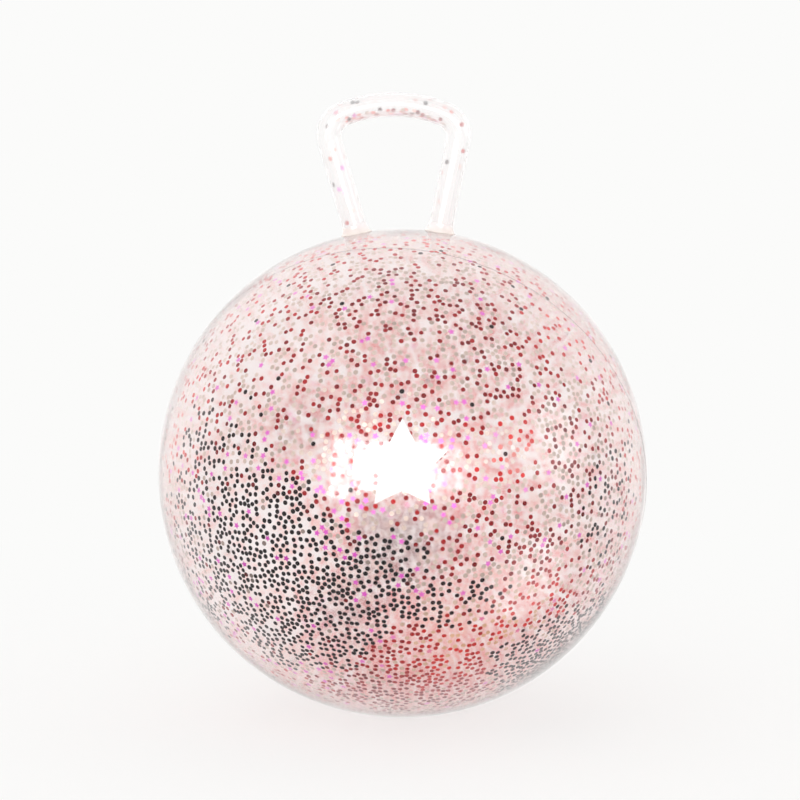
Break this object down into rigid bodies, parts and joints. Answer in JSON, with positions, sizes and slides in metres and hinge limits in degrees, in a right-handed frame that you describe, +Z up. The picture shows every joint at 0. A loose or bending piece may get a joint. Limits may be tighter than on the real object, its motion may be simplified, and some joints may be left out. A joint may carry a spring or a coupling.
{
  "type": "hopper ball",
  "caption": "Inflated clear hopper ball with a hollow hand loop on top, a bare white star on the front, a plugged valve at the back and loose flakes inside.",
  "frame": {"origin": "centre of the flat patch where the ball stands on the floor", "axes": "+Z up through the ball to the hand loop, -Y out through the front with the star, +X to the right seen from the front"},
  "size_m": [0.4499, 0.4499, 0.5726],
  "materials": {
    "clear_skin": "clear glossy soft PVC",
    "clear_loop": "clear glossy soft PVC, milky where it is thick",
    "tinted_cuff": "clear glossy soft PVC with a slight peach tint",
    "white_print": "smooth white print",
    "valve_seat": "milky PVC",
    "valve_plug": "white polyethylene",
    "red_foil": "metallised red film",
    "silver_foil": "metallised silver film",
    "dark_foil": "metallised dark film",
    "magenta_foil": "metallised magenta film"
  },
  "bodies": {
    "ball": {"ball_skin": "clear_skin", "handle_loop": "clear_loop", "left_root_cuff": "tinted_cuff", "right_root_cuff": "tinted_cuff", "star_label": "white_print", "valve_seat": "valve_seat", "red_dots": "red_foil", "silver_dots": "silver_foil", "dark_dots": "dark_foil", "magenta_stars": "magenta_foil"},
    "plug": {"valve_plug": "valve_plug"}
  },
  "joints": [
    {"name": "plug_slide", "type": "slide", "parent": "ball", "child": "plug", "axis": [0, 1, 0], "range_m": [0, 0.011]}
  ]
}
